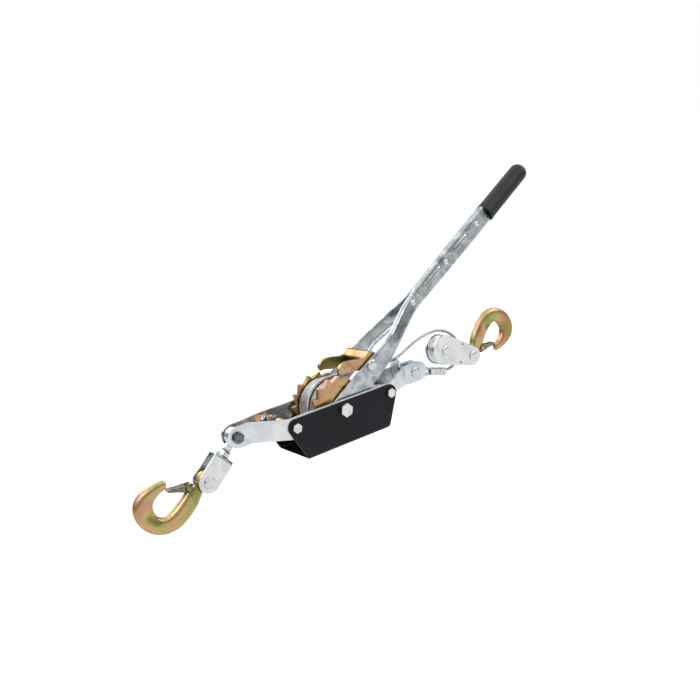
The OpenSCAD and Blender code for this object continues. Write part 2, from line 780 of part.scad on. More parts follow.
// side view of the stop pawl's arm
module stop_outline() {
    a = stop_tooth;
    hub = tie_r + 5;
    tip = [polar(33, a - 5.3), polar(wheel_r, a - 2.4), polar(42, a - 2)];
    polygon(rounded([
        [tip[0][0], tip[0][1], 0], [tip[1][0], tip[1][1], 0], [tip[2][0], tip[2][1], 1.5],
        [polar(47, a - 8)[0], polar(47, a - 8)[1], 4],
        [-tie_x - 1, -hub, hub / 2], [-tie_x - hub, -1, hub / 2], [-tie_x - 1, hub, hub / 2],
        [-tie_x + hub, 3, 5],
        [polar(42.5, a - 22)[0], polar(42.5, a - 22)[1], 8],
        [polar(38.6, a - 15)[0], polar(38.6, a - 15)[1], 0]], 4));
}

module stop_pawl() {
    color(chromate) place() difference() {
        union() {
            for (d = [-1, 1]) side(d > 0 ? wheel_in + 0.5 : -wheel_in - 0.5 - stop_t,
                d > 0 ? wheel_in + 0.5 + stop_t : -wheel_in - 0.5) stop_outline();
            bar([-tie_x, 0], -stop_hub_half, stop_hub_half, tie_r + 2.6);
        }
        bar([-tie_x, 0], -frame_w, frame_w, tie_r + run_fit);
    }
}

module stop_pawl_spring() {
    r = tie_r + 2.6 + spring_wire / 2 + 0.4;
    color(zinc_dark) place() torsion_spring([-tie_x, 0], r, spring_in, spring_out, 4, -100, 6, 14);
}

// ---------- swivel and yoke ----------
// frame of the swivel: +X runs from the nose bolt along the neck
module along_swivel() {
    place() translate([-nose_x, 0, nose_rise]) rotate([0, -swivel_angle, 0]) children();
}

module swivel_eye() {
    closed = swivel_len - yoke_len;
    half = nose_gap / 2 - side_play;
    color(zinc) along_swivel() difference() {
        union() {
            bar([0, 0], -half, half, swivel_eye_r);
            rotate([0, 90, 0]) rotate_extrude() polygon([
                [0, 0], [neck_r + 1.6, 0], [neck_r + 0.6, swivel_eye_r + 1], [neck_r + 3, closed - 3.5],
                [neck_r + 3, closed - side_play], [neck_r, closed - side_play],
                [neck_r, closed + yoke_t + side_play], [head_r, closed + yoke_t + side_play],
                [head_r, closed + yoke_t + 2], [head_r - 2, closed + yoke_t + 3.4], [0, closed + yoke_t + 3.4]]);
        }
        bar([0, 0], -frame_w, frame_w, pin_r + run_fit);
        for (d = [-1, 1]) translate([0, d * half, 0]) rotate([90 * d, 0, 0])
            rotate_extrude() polygon([[swivel_eye_r - 1.5, -1], [swivel_eye_r + 9, -1], [swivel_eye_r + 9, 4],
                [swivel_eye_r + 4, 2.5], [swivel_eye_r - 1.5, 0]]);
    }
}

// plan view of the folded strap, from its closed end towards the pin
module yoke_plan() {
    closed = swivel_len - yoke_len;
    ends = swivel_len + yoke_w / 2;
    polygon(rounded([
        [ends, yoke_out, 0], [closed, yoke_out, yoke_t + 1.5], [closed, -yoke_out, yoke_t + 1.5],
        [ends, -yoke_out, 0], [ends, -yoke_in, 0], [closed + yoke_t, -yoke_in, 0.8],
        [closed + yoke_t, yoke_in, 0.8], [ends, yoke_in, 0]], 6));
}

module hook_yoke() {
    closed = swivel_len - yoke_len;
    ends = swivel_len + yoke_w / 2;
    half = yoke_w / 2;
    color(zinc) along_swivel() difference() {
        intersection() {
            translate([0, 0, -20]) linear_extrude(40) yoke_plan();
            side(-20, 20) polygon(rounded([
                [closed - 1, half, 2.5], [ends, half, half - 0.05],
                [ends, -half, half - 0.05], [closed - 1, -half, 2.5]], 10));
        }
        translate([closed - 1, 0, 0]) rotate([0, 90, 0]) cylinder(h = yoke_t + 2, r = neck_r + 0.3);
        bar([swivel_len, 0], -frame_w, frame_w, pin_r + run_fit);
    }
}

module yoke_pin() {
    y = yoke_out + seat;
    color(zinc) place() {
        bar(yoke_at, -y - eps, y + eps, pin_r);
        for (d = [-1, 1]) rivet_head(yoke_at, d * y, d, pin_head_r, 1.4);
    }
}

// ---------- hooks ----------
// middle line of the hook, from its eye round the bowl to its point
hook_line =
    let(a0 = back_angle + 90, s = bowl_mid + polar(bowl_r, a0))
    let(m = bowl_mid + polar(bowl_r - point_r, bowl_end))
    let(back = [for (k = [0:4]) s - polar(1, back_angle) * (38 - 8.3 * k)])
    let(bowl = [for (a = [a0:-(a0 - bowl_end) / 12:bowl_end + 1]) bowl_mid + polar(bowl_r, a)])
    let(tip = [for (a = [bowl_end:-15:bowl_end - 45]) m + polar(point_r, a)])
    concat(back, bowl, tip, [throat_tip + [4, 0], throat_tip, throat_tip - [3, 0], throat_tip - [4.4, 0]]);

// half width of the hook along its line, as shares of the widest
hook_widths = [[0, 0.72], [3, 0.85], [6, 1], [12, 1], [16, 0.93], [19, 0.66], [21, 0.5], [22, 0.44], [23, 0.36], [24, 0.12]];
hook_depths = [[0, 0.85], [5, 0.98], [14, 1], [19, 0.8], [22, 0.66], [23, 0.5], [24, 0.15]];

// forged hook in its own frame: eye at the origin, bowl towards +X, point towards -Z
module hook_shape() {
    n = len(hook_line);
    path = [for (p = hook_line) [p[0], 0, p[1]]];
    sizes = [for (i = [0:n - 1]) let(k = 24 * i / (n - 1))
        [hook_half * lookup(k, hook_widths), hook_thick * lookup(k, hook_depths)]];
    difference() {
        union() {
            sweep(path, sizes, 14);
            intersection() {
                bar([0, 0], -hook_thick, hook_thick, eye_r);
                sphere(r = eye_r + 0.9);
            }
            bar(pivot_at, -boss_half, boss_half, boss_r);
        }
        bar([0, 0], -20, 20, pin_r + run_fit);
        bar(pivot_at, -20, 20, pivot_r + run_fit);
        difference() {
            bar(pivot_at, -2.6, 2.6, coil_r + side_play + latch_wire / 2);
            bar(pivot_at, -3, 3, boss_r);
        }
    }
}

// places a hook's own frame at a point of the side view
module hook_place(at, angle) {
    place() translate([at[0], 0, at[1]]) rotate([0, -angle, 0]) children();
}

// latch drawn in the hook's frame, a folded channel that opens inwards
module latch_shape() {
    ear = boss_half + side_play;
    out = ear + latch_t;
    translate([pivot_at[0], 0, pivot_at[1]]) rotate([0, -latch_angle, 0]) difference() {
        intersection() {
            side(-out, out) polygon(rounded([
                [-4.2, -latch_half - 1, 3], [latch_len - 5, -latch_half, 0], [latch_len, -latch_half, 1.2],
                [latch_len, latch_half - 1.2, 1.5], [9, latch_half, 4], [4, latch_half + 1, 3], [-4.2, latch_half + 1, 3.6]], 4));
            translate([0, 0, -20]) linear_extrude(40) polygon(rounded([
                [-10, out, 0], [latch_len - 6, out, 4], [latch_len + 1, out - 1.4, 1.5],
                [latch_len + 1, 1.4 - out, 1.5], [latch_len - 6, -out, 4], [-10, -out, 0]], 4));
        }
        side(-ear, ear) polygon([[-10, -latch_half - 5], [5.5, -latch_half - 5], [7, latch_t - latch_half],
            [latch_len + 5, latch_t - latch_half], [latch_len + 5, 20], [-10, 20]]);
        bar([0, 0], -20, 20, pivot_r + run_fit);
    }
}

module latch_rivet() {
    y = boss_half + side_play + latch_t + seat;
    bar(pivot_at, -y - 0.3, y + 0.3, pivot_r);
    for (d = [-1, 1]) rivet_head(pivot_at, d * y, d, 3, 1.1);
}

module latch_spring() {
    wire_along(coil(pivot_at, coil_r, -1.9, 1.9, 3, 190), latch_wire / 2);
}

module front_hook() {
    color(chromate) hook_place(yoke_at, front_hook_angle) hook_shape();
}

module front_latch() {
    color(chromate) hook_place(yoke_at, front_hook_angle) latch_shape();
}

module front_latch_rivet() {
    color(chromate) hook_place(yoke_at, front_hook_angle) latch_rivet();
}

module front_latch_spring() {
    color(zinc_dark) hook_place(yoke_at, front_hook_angle) latch_spring();
}

module rear_hook() {
    color(chromate) hook_place(block_pin_at, rear_hook_angle) hook_shape();
}

module rear_latch() {
    color(chromate) hook_place(block_pin_at, rear_hook_angle) latch_shape();
}

module rear_latch_rivet() {
    color(chromate) hook_place(block_pin_at, rear_hook_angle) latch_rivet();
}

module rear_latch_spring() {
    color(zinc_dark) hook_place(block_pin_at, rear_hook_angle) latch_spring();
}

// ---------- pulley block ----------
module along_block() {
    place() translate([block_x, 0, block_z]) rotate([0, -block_angle, 0]) children();
}

module block_outline() {
    hull() {
        circle(block_big_r);
        translate([block_len, 0]) circle(block_small_r);
    }
}

module block_plate(dir) {
    along_block() difference() {
        union() {
            side(dir > 0 ? block_in : -block_out, dir > 0 ? block_out : -block_in) block_outline();
            for (d = dimple_at) translate([polar(d[0], d[1])[0], dir * (rope_r + side_play), polar(d[0], d[1])[1]])
                rotate([-90 * dir, 0, 0]) cylinder(h = block_in - rope_r, r1 = 1.6, r2 = 3);
        }
        for (x = [0, block_len]) bar([x, 0], -frame_w, frame_w, pin_r + run_fit);
        for (d = dimple_at) translate([polar(d[0], d[1])[0], dir * (block_out - 1.2), polar(d[0], d[1])[1]])
            rotate([-90 * dir, 0, 0]) cylinder(h = 3, r1 = 1, r2 = 2.6);
    }
}

module near_block_plate() {
    color(zinc) block_plate(-1);
}

module far_block_plate() {
    color(zinc) block_plate(1);
}

module sheave() {
    half = sheave_t / 2;
    neck = sheave_r - rope_d - 2;
    color(zinc) place() translate([block_x, 0, block_z]) rotate([90, 0, 0]) rotate_extrude() polygon(concat(
        [[pin_r + run_fit, -half - 0.6], [9, -half - 0.6], [9.6, -half], [sheave_r, -half], [sheave_r, 0.8 - half]],
        [for (a = [-60:20:60]) [neck + rope_r + 0.3 - (rope_r + 0.3) * cos(a), (rope_r + 0.3) * sin(a)]],
        [[sheave_r, half - 0.8], [sheave_r, half], [9.6, half], [9, half + 0.6], [pin_r + run_fit, half + 0.6]]));
}

// riveted pin through the block's plates
module block_rivet(x, head) {
    y = block_out + seat;
    along_block() {
        bar([x, 0], -y - eps, y + eps, pin_r);
        for (d = [-1, 1]) rivet_head([x, 0], d * y, d, head, rivet_h);
    }
}

module sheave_axle() {
    color(zinc) block_rivet(0, axle_head_r);
}

module block_pin() {
    color(zinc) block_rivet(block_len, pin_head_r);
}

// ---------- rope ----------
// free stretch from the guide over the block and back to the ferrule
rope_route = [
    [60, -2, 30.2], [80, -1, 28.5], [100, 0, 27.2], [110, 0, 29], [121, 0, 33], [132, 0, 37.5], [143, 0, 41],
    [154, 0, 43.3], [165, 0, 44.2], [175, 0, 43.8], [184, 0, 41], [192, 0, 36.3], [199, 0, 29.6],
    [203, 0, 22], [203.5, 0, 13.5], [202.3, 0, 5], [198.7, 0, -1.7], [192.8, 0, -6.4], [186, 0, -9.2]
];

// place in the ferrule's frame: along it from the anchor pin, across it
function ferrule_point(along, across) =
    let(p = turned([along, across], ferrule_angle)) [nose_x + p[0], 0, nose_rise + p[1]];

rope_path = concat(
    [for (a = [wrap_from:-15:leave + 4]) [wrap_r * cos(a), wrap_y - (a - leave) / 360 * layer_pitch, wrap_r * sin(a)]],
    [[wrap_r * cos(leave), wrap_y, wrap_r * sin(leave)]],
    rope_route,
    [for (x = [ferrule_from + ferrule_len, ferrule_from]) ferrule_point(x, strand)],
    [ferrule_point(18, 6.6)],
    [for (a = [75:22.5:285]) ferrule_point(eye_line_r * cos(a), eye_line_r * sin(a))],
    [ferrule_point(18, -6.6)],
    [for (x = [ferrule_from, ferrule_from + ferrule_len - 2]) ferrule_point(x, -strand)]);

module cable() {
    color(wire) place() wire_along(rope_path, rope_r, 8);
}

module along_ferrule() {
    place() translate([nose_x, 0, nose_rise]) rotate([0, -ferrule_angle, 0]) children();
}

// grooved ring that the rope's end goes round
module thimble() {
    half = nose_gap / 2 - side_play - 2.4;
    color(zinc_dark) along_ferrule() rotate([90, 0, 0]) rotate_extrude() polygon(concat(
        [[pin_r + run_fit, -half], [thimble_r + 1.6, -half]],
        [for (a = [-50:25:50]) [eye_line_r - (rope_r + 0.4) * cos(a), (rope_r + 0.4) * sin(a)]],
        [[thimble_r + 1.6, half], [pin_r + run_fit, half]]));
}

module ferrule() {
    wall = 0.9;
    high = 2 * (strand + rope_r + wall);
    deep = 2 * (rope_r + wall);
    color(zinc) along_ferrule() difference() {
        translate([ferrule_from, 0, 0]) rotate([90, 0, 90]) linear_extrude(ferrule_len) polygon(rounded([
            [-deep / 2, -high / 2, deep / 2 - 0.05], [deep / 2, -high / 2, deep / 2 - 0.05],
            [deep / 2, high / 2, deep / 2 - 0.05], [-deep / 2, high / 2, deep / 2 - 0.05]], 6));
        for (z = [-strand, strand]) translate([ferrule_from - 1, 0, z]) rotate([0, 90, 0])
            cylinder(h = ferrule_len + 2, r = rope_r + 0.05);
        for (x = [8, 14, 20]) for (d = [-1, 1])
            translate([ferrule_from + x, d * (deep / 2 + 1.7), -high]) cylinder(h = 2 * high, r = 2.2);
    }
}

near_side_plate();
far_side_plate();
tray();
tie_bolts();
tie_nuts();
tie_spacers();
axle_bolt();
axle_nut();
nose_bolt();
nose_nut();
anchor_pin();
cable_guide();
drum_core();
near_ratchet_wheel();
far_ratchet_wheel();
wound_cable();
axle_washers();
near_handle_half();
far_handle_half();
handle_rivets();
grip();
pawl_pin();
drive_pawl();
drive_pawl_spring();
stop_pawl();
stop_pawl_spring();
swivel_eye();
hook_yoke();
yoke_pin();
front_hook();
front_latch();
front_latch_rivet();
front_latch_spring();
near_block_plate();
far_block_plate();
sheave();
sheave_axle();
block_pin();
rear_hook();
rear_latch();
rear_latch_rivet();
rear_latch_spring();
cable();
thimble();
ferrule();
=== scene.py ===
import math

import bmesh
import bpy
import numpy as np
from mathutils import Matrix, Vector


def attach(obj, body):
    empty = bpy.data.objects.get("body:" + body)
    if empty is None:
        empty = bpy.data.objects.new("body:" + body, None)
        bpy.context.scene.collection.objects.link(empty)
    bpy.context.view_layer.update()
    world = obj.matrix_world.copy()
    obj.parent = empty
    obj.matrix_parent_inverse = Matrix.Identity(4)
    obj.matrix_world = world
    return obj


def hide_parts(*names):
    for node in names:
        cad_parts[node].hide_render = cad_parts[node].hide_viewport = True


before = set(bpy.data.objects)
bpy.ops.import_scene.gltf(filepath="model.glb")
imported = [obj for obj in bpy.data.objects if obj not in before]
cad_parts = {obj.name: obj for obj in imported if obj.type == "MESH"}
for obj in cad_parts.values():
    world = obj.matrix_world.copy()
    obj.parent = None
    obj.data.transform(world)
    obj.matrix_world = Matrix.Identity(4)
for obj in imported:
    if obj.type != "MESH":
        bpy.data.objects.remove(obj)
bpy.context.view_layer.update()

MM = 0.001
AXLE = 41.0  # height of the drum's axle over the tray's underside, in mm


# ---------- camera ----------
def make_camera():
    data = bpy.data.cameras.new("camera")
    data.lens = 42.63
    data.sensor_width = 36
    data.clip_start, data.clip_end = 0.05, 20
    camera = bpy.data.objects.new("camera", data)
    bpy.context.scene.collection.objects.link(camera)
    across = (0.81285, -0.55398, -0.17992)
    up = (0.27150, 0.08707, 0.95849)
    back = (-0.51532, -0.82796, 0.22118)
    place = (-0.4609, -0.8082, 0.3125)
    turn = Matrix((across, up, back)).transposed()
    camera.matrix_world = Matrix.Translation(place) @ turn.to_4x4()
    bpy.context.scene.camera = camera


make_camera()


# ---------- measures shared with the frame, in mm round the drum's axle ----------
ROPE_R = 2.0
# the last turn lies on the wound layer: its radius, its place across the drum and the angle it starts from
WRAP_R, WRAP_Y, WRAP_FROM = 34.6, -6.0, 250
# the layer on the drum: radius of its middle line, width and number of turns
LAYER_R, LAYER_WIDTH, ROPE_TURNS = 30.3, 31.2, 7
# middle of the rope's end eye, the ferrule's slope and the radius of the rope's middle line round the thimble
ANCHOR, FERRULE_ANGLE, EYE_LINE_R = (124.0, 4.7), -16.5, 8.8
# half the distance between the two legs in the ferrule, and between them where they spread to the eye
LEG_OFF, LEG_SPREAD = 2.15, 6.6
# where the rope heads for as it leaves the drum
GUIDE_AT = (102, 27)
# the rope's middle line from the drum over the guide and round the sheave
ROUTE = [
    (60, -2, 30.2), (80, -1, 28.5), (100, 0, 27.2), (110, 0, 29), (121, 0, 33), (132, 0, 37.5),
    (143, 0, 41), (154, 0, 43.3), (165, 0, 44.2), (175, 0, 43.8), (184, 0, 41), (192, 0, 36.3),
    (199, 0, 29.6), (203, 0, 22), (203.5, 0, 13.5), (202.3, 0, 5), (198.7, 0, -1.7), (192.8, 0, -6.4),
    (186, 0, -9.2),
]


def polar(radius, degrees):
    """X and Z of a point of the side view at a distance and an angle."""
    a = math.radians(degrees)
    return radius * math.cos(a), radius * math.sin(a)


def ferrule_point(along, across):
    """A point that far from the end eye's middle, along the ferrule and across it."""
    c, s = polar(1, FERRULE_ANGLE)
    return ANCHOR[0] + along * c - across * s, 0, ANCHOR[1] + along * s + across * c


def rope_line():
    """Middle line of the rope from the drum over the guide, round the block and back to the thimble."""
    x, z = GUIDE_AT
    leave = math.degrees(math.acos(WRAP_R / math.hypot(x, z)) + math.atan2(z, x))
    pitch = LAYER_WIDTH / ROPE_TURNS
    wrap = []
    # a point every step in degrees, but none too near to the one where it leaves the drum
    step, too_near = 15, 4
    angle = WRAP_FROM
    while angle > leave + too_near:
        x, z = polar(WRAP_R, angle)
        wrap.append((x, WRAP_Y - (angle - leave) / 360 * pitch, z))
        angle -= step
    x, z = polar(WRAP_R, leave)
    wrap.append((x, WRAP_Y, z))
    eye = [ferrule_point(*polar(EYE_LINE_R, 75 + 22.5 * k)) for k in range(10)]
    live = [ferrule_point(56, LEG_OFF), ferrule_point(30, LEG_OFF), ferrule_point(18, LEG_SPREAD)]
    dead = [ferrule_point(18, -LEG_SPREAD), ferrule_point(30, -LEG_OFF), ferrule_point(54, -LEG_OFF)]
    return wrap + ROUTE + live + eye + dead


def layer_line():
    """Middle line of the layer wound on the drum."""
    points = []
    steps = 24
    for k in range(ROPE_TURNS * steps + 1):
        turn = k / steps
        x, z = polar(LAYER_R, 360 * turn)
        points.append((x, (turn / ROPE_TURNS - 0.5) * LAYER_WIDTH, z))
    return points


# ---------- materials ----------
def linear(colour):
    """Linear red, green, blue and alpha of a hex sRGB colour."""
    parts = [int(colour[k : k + 2], 16) / 255 for k in (1, 3, 5)]
    return [c / 12.92 if c <= 0.04045 else ((c + 0.055) / 1.055) ** 2.4 for c in parts] + [1]


def add(tree, kind, inputs=None, stops=None, **settings):
    """A shader node with its settings, its colour stops and its inputs: values or other nodes' outputs."""
    made = tree.nodes.new("ShaderNode" + kind)
    for key, value in settings.items():
        setattr(made, key, value)
    if stops:
        ramp = made.color_ramp.elements
        while len(ramp) < len(stops):
            ramp.new(0.5)
        for element, (place, colour) in zip(ramp, stops):
            element.position = place
            element.color = linear(colour)
    for key, value in (inputs or {}).items():
        if isinstance(value, bpy.types.NodeSocket):
            tree.links.new(value, made.inputs[key])
        else:
            made.inputs[key].default_value = value
    return made


def per_mm(size):
    """Scale of a pattern whose patches are about that many millimetres wide."""
    return 1000 / size


def new_material(name):
    """An empty material and its node tree."""
    made = bpy.data.materials.new(name)
    made.use_nodes = True
    made.node_tree.nodes.clear()
    return made, made.node_tree


def with_painted_shade(tree, tint, reach, shade_colour):
    """The tint, darkened towards a shade colour in corners and gaps narrower than the reach in mm: painted
    shade from ambient occlusion.
    """
    nook = add(tree, "AmbientOcclusion", {"Distance": reach * MM}, samples=6)
    clear = add(tree, "MapRange", {"Value": nook.outputs["AO"], "From Min": 0.35, "From Max": 0.85})
    mixed = add(tree, "Mix", {
        "Factor": clear.outputs["Result"], "A": linear(shade_colour), "B": tint}, data_type="RGBA")
    return mixed.outputs["Result"]


def plated_zinc(name, stops, size, gloss_range):
    """Rolled or pressed steel, barrel-plated with zinc: cloudy tint and gloss, rounded sheared edges."""
    made, tree = new_material(name)
    place = add(tree, "TexCoord").outputs["Object"]
    clouds = add(tree, "TexNoise", {
        "Vector": place, "Scale": per_mm(size), "Detail": 3.0, "Roughness": 0.5, "Distortion": 0.4})
    tint = add(tree, "ValToRGB", {"Fac": clouds.outputs["Fac"]}, stops)
    handled = add(tree, "TexNoise", {
        "Vector": place, "Scale": per_mm(16), "Detail": 4.0, "Roughness": 0.6, "Distortion": 0.3})
    gloss = add(tree, "MapRange", {
        "Value": handled.outputs["Fac"], "From Min": 0.3, "From Max": 0.7,
        "To Min": gloss_range[0], "To Max": gloss_range[1]})
    edge = add(tree, "Bevel", {"Radius": 0.5 * MM}, samples=4)
    # rolled sheet is never quite flat: a shallow wave breaks up the reflections
    wave = add(tree, "Bump", {
        "Height": handled.outputs["Fac"], "Normal": edge.outputs["Normal"],
        "Strength": 1.0, "Distance": 0.45 * MM})
    grain = add(tree, "TexNoise", {"Vector": place, "Scale": per_mm(1.6), "Detail": 3.0, "Roughness": 0.6})
    bump = add(tree, "Bump", {
        "Height": grain.outputs["Fac"], "Normal": wave.outputs["Normal"],
        "Strength": 0.05, "Distance": 0.1 * MM})
    # painted shade: the plating darkens to #3C4247 in corners and gaps within 4 mm
    shader = add(tree, "BsdfPrincipled", {
        "Base Color": with_painted_shade(tree, tint.outputs["Color"], 4, "#3C4247"), "Metallic": 1.0,
        "Roughness": gloss.outputs["Result"], "Normal": bump.outputs["Normal"]})
    add(tree, "OutputMaterial", {"Surface": shader.outputs["BSDF"]})
    return made


def yellow_chromate():
    """Forged or stamped steel, zinc-plated, yellow chromated: gold that drifts to rose, green and olive."""
    made, tree = new_material("yellow_chromate")
    place = add(tree, "TexCoord").outputs["Object"]
    drift = add(tree, "TexNoise", {
        "Vector": place, "Scale": per_mm(34), "Detail": 1.8, "Roughness": 0.45, "Distortion": 0.5})
    tint = add(tree, "ValToRGB", {"Fac": drift.outputs["Fac"]}, [
        (0.26, "#5F5136"), (0.35, "#8C8F52"), (0.42, "#C3B677"), (0.5, "#D9B380"), (0.57, "#D2A08A"),
        (0.65, "#C79A62"), (0.75, "#8F9C5C")])
    grain = add(tree, "TexNoise", {"Vector": place, "Scale": per_mm(3), "Detail": 4.0, "Roughness": 0.6})
    gloss = add(tree, "MapRange", {
        "Value": grain.outputs["Fac"], "From Min": 0.3, "From Max": 0.7, "To Min": 0.27, "To Max": 0.4})
    edge = add(tree, "Bevel", {"Radius": 0.5 * MM}, samples=4)
    bump = add(tree, "Bump", {
        "Height": grain.outputs["Fac"], "Normal": edge.outputs["Normal"],
        "Strength": 0.15, "Distance": 0.2 * MM})
    # painted shade: the chromate darkens to #4A3A22 in corners and creases within 4 mm, such as round the eye
    # and the latch's boss
    shader = add(tree, "BsdfPrincipled", {
        "Base Color": with_painted_shade(tree, tint.outputs["Color"], 4, "#4A3A22"), "Metallic": 1.0,
        "Roughness": gloss.outputs["Result"], "Normal": bump.outputs["Normal"]})
    add(tree, "OutputMaterial", {"Surface": shader.outputs["BSDF"]})
    return made


def olive_chromate():
    """Folded spring sheet with a thin chromate: dull olive grey with a few warmer patches."""
    made, tree = new_material("olive_chromate")
    place = add(tree, "TexCoord").outputs["Object"]
    drift = add(tree, "TexNoise", {"Vector": place, "Scale": per_mm(9), "Detail": 3.0, "Roughness": 0.5})
    tint = add(tree, "ValToRGB", {
        "Fac": drift.outputs["Fac"]}, [(0.35, "#7E7A66"), (0.5, "#A09A80"), (0.65, "#8A8068")])
    edge = add(tree, "Bevel", {"Radius": 0.3 * MM}, samples=4)
    shader = add(tree, "BsdfPrincipled", {
        "Base Color": tint.outputs["Color"], "Metallic": 1.0, "Roughness": 0.34,
        "Normal": edge.outputs["Normal"]})
    add(tree, "OutputMaterial", {"Surface": shader.outputs["BSDF"]})
    return made


def black_powder_coat():
    """Bent sheet with a baked black powder coat: satin, with a fine orange peel and softly rounded edges."""
    made, tree = new_material("black_powder_coat")
    place = add(tree, "TexCoord").outputs["Object"]
    peel = add(tree, "TexNoise", {"Vector": place, "Scale": per_mm(1.2), "Detail": 2.0, "Roughness": 0.5})
    dust = add(tree, "TexNoise", {
        "Vector": place, "Scale": per_mm(30), "Detail": 5.0, "Roughness": 0.6, "Distortion": 0.8})
    tint = add(tree, "ValToRGB", {"Fac": dust.outputs["Fac"]}, [(0.35, "#0C0B13"), (0.65, "#15141F")])
    gloss = add(tree, "MapRange", {
        "Value": dust.outputs["Fac"], "From Min": 0.3, "From Max": 0.7, "To Min": 0.3, "To Max": 0.42})
    edge = add(tree, "Bevel", {"Radius": 0.7 * MM}, samples=4)
    bump = add(tree, "Bump", {
        "Height": peel.outputs["Fac"], "Normal": edge.outputs["Normal"],
        "Strength": 0.15, "Distance": 0.1 * MM})
    shader = add(tree, "BsdfPrincipled", {
        "Base Color": tint.outputs["Color"], "Metallic": 0.0, "Roughness": gloss.outputs["Result"],
        "IOR": 1.5, "Specular IOR Level": 0.3, "Normal": bump.outputs["Normal"]})
    add(tree, "OutputMaterial", {"Surface": shader.outputs["BSDF"]})
    return made


def moulded_rubber():
    """Black dipped rubber sleeve: dull, faintly pebbled and paler where hands polish it."""
    made, tree = new_material("moulded_rubber")
    place = add(tree, "TexCoord").outputs["Object"]
    pebble = add(tree, "TexNoise", {"Vector": place, "Scale": per_mm(0.9), "Detail": 2.0, "Roughness": 0.6})
    polish = add(tree, "TexNoise", {"Vector": place, "Scale": per_mm(24), "Detail": 3.0, "Roughness": 0.5})
    tint = add(tree, "ValToRGB", {"Fac": polish.outputs["Fac"]}, [(0.35, "#121214"), (0.7, "#1F1F22")])
    gloss = add(tree, "MapRange", {
        "Value": polish.outputs["Fac"], "From Min": 0.3, "From Max": 0.7, "To Min": 0.36, "To Max": 0.52})
    bump = add(tree, "Bump", {"Height": pebble.outputs["Fac"], "Strength": 0.2, "Distance": 0.1 * MM})
    shader = add(tree, "BsdfPrincipled", {
        "Base Color": tint.outputs["Color"], "Metallic": 0.0, "Roughness": gloss.outputs["Result"],
        "IOR": 1.52, "Normal": bump.outputs["Normal"]})
    add(tree, "OutputMaterial", {"Surface": shader.outputs["BSDF"]})
    return made


def dark_zinc():
    """Spring wire and small fittings with a dull grey zinc and traces of oil in the hollows."""
    made, tree = new_material("dark_zinc")
    place = add(tree, "TexCoord").outputs["Object"]
    stain = add(tree, "TexNoise", {"Vector": place, "Scale": per_mm(5), "Detail": 4.0, "Roughness": 0.6})
    tint = add(tree, "ValToRGB", {
        "Fac": stain.outputs["Fac"]}, [(0.35, "#5C5C5E"), (0.55, "#808286"), (0.75, "#97999B")])
    gloss = add(tree, "MapRange", {
        "Value": stain.outputs["Fac"], "From Min": 0.3, "From Max": 0.7, "To Min": 0.3, "To Max": 0.45})
    edge = add(tree, "Bevel", {"Radius": 0.3 * MM}, samples=4)
    shader = add(tree, "BsdfPrincipled", {
        "Base Color": tint.outputs["Color"], "Metallic": 1.0, "Roughness": gloss.outputs["Result"],
        "Normal": edge.outputs["Normal"]})
    add(tree, "OutputMaterial", {"Surface": shader.outputs["BSDF"]})
    return made


def galvanised_wire():
    """Drawn galvanised wire laid up in strands: pale ridges with single wires and oily patches."""
    made, tree = new_material("galvanised_wire")
    place = add(tree, "TexCoord").outputs["Object"]
    oil = add(tree, "TexNoise", {"Vector": place, "Scale": per_mm(7), "Detail": 4.0, "Roughness": 0.6})
    tint = add(tree, "ValToRGB", {
        "Fac": oil.outputs["Fac"]}, [(0.3, "#C4C6C6"), (0.5, "#E0E2E2"), (0.7, "#F0F1EF")])
    # painted shade: the lay between the strands darkens to #4A4944 by how deep each point lies
    ridge = add(tree, "Attribute", attribute_name="ridge")
    lay = add(tree, "MapRange", {"Value": ridge.outputs["Fac"], "From Min": 0.0, "From Max": 0.6})
    lay_shaded = add(tree, "Mix", {
        "Factor": lay.outputs["Result"], "A": linear("#4A4944"),
        "B": tint.outputs["Color"]}, data_type="RGBA")
    # single wires, drawn coarser than the real ones so that they show
    wires = add(tree, "TexNoise", {"Vector": place, "Scale": per_mm(0.8), "Detail": 1.0, "Roughness": 0.5})
    bump = add(tree, "Bump", {"Height": wires.outputs["Fac"], "Strength": 0.4, "Distance": 0.15 * MM})
    # painted shade: the gaps between strands and between turns on the drum darken further to #1C1B18 within
    # 2.6 mm
    shader = add(tree, "BsdfPrincipled", {
        "Base Color": with_painted_shade(tree, lay_shaded.outputs["Result"], 2.6, "#1C1B18"), "Metallic": 1.0,
        "Roughness": 0.36, "Normal": bump.outputs["Normal"]})
    add(tree, "OutputMaterial", {"Surface": shader.outputs["BSDF"]})
    return made


# bluish white plating of the strips, plates, nuts and block, with faint warm clouds
ZINC = plated_zinc("bright_zinc", [
    (0.3, "#CBD5DE"), (0.44, "#E6EAEE"), (0.52, "#F4F4F2"), (0.6, "#E0E6EC"), (0.74, "#E8E6DE"),
], size=48, gloss_range=(0.2, 0.36))
# the deep-pressed lever gets a greyer, patchier copy of the zinc plating with darker passes; its darker tint
# is partly painted shade standing for the shade on the lever and partly random tone
PRESSED_SHADED = plated_zinc("pressed_zinc_shaded", [
    (0.3, "#7F8688"), (0.41, "#B2BDC2"), (0.5, "#D2DADD"), (0.58, "#A5ACAC"), (0.7, "#C6CDCD"),
], size=30, gloss_range=(0.2, 0.32))
CHROMATE = yellow_chromate()
OLIVE = olive_chromate()
POWDER = black_powder_coat()
RUBBER = moulded_rubber()
DARK = dark_zinc()
WIRE = galvanised_wire()
FINISHES = {
    "zinc": ZINC, "zinc_dark": DARK, "chromate": CHROMATE,
    "powder_coat": POWDER, "rubber_grip": RUBBER, "wire_rope": WIRE,
}


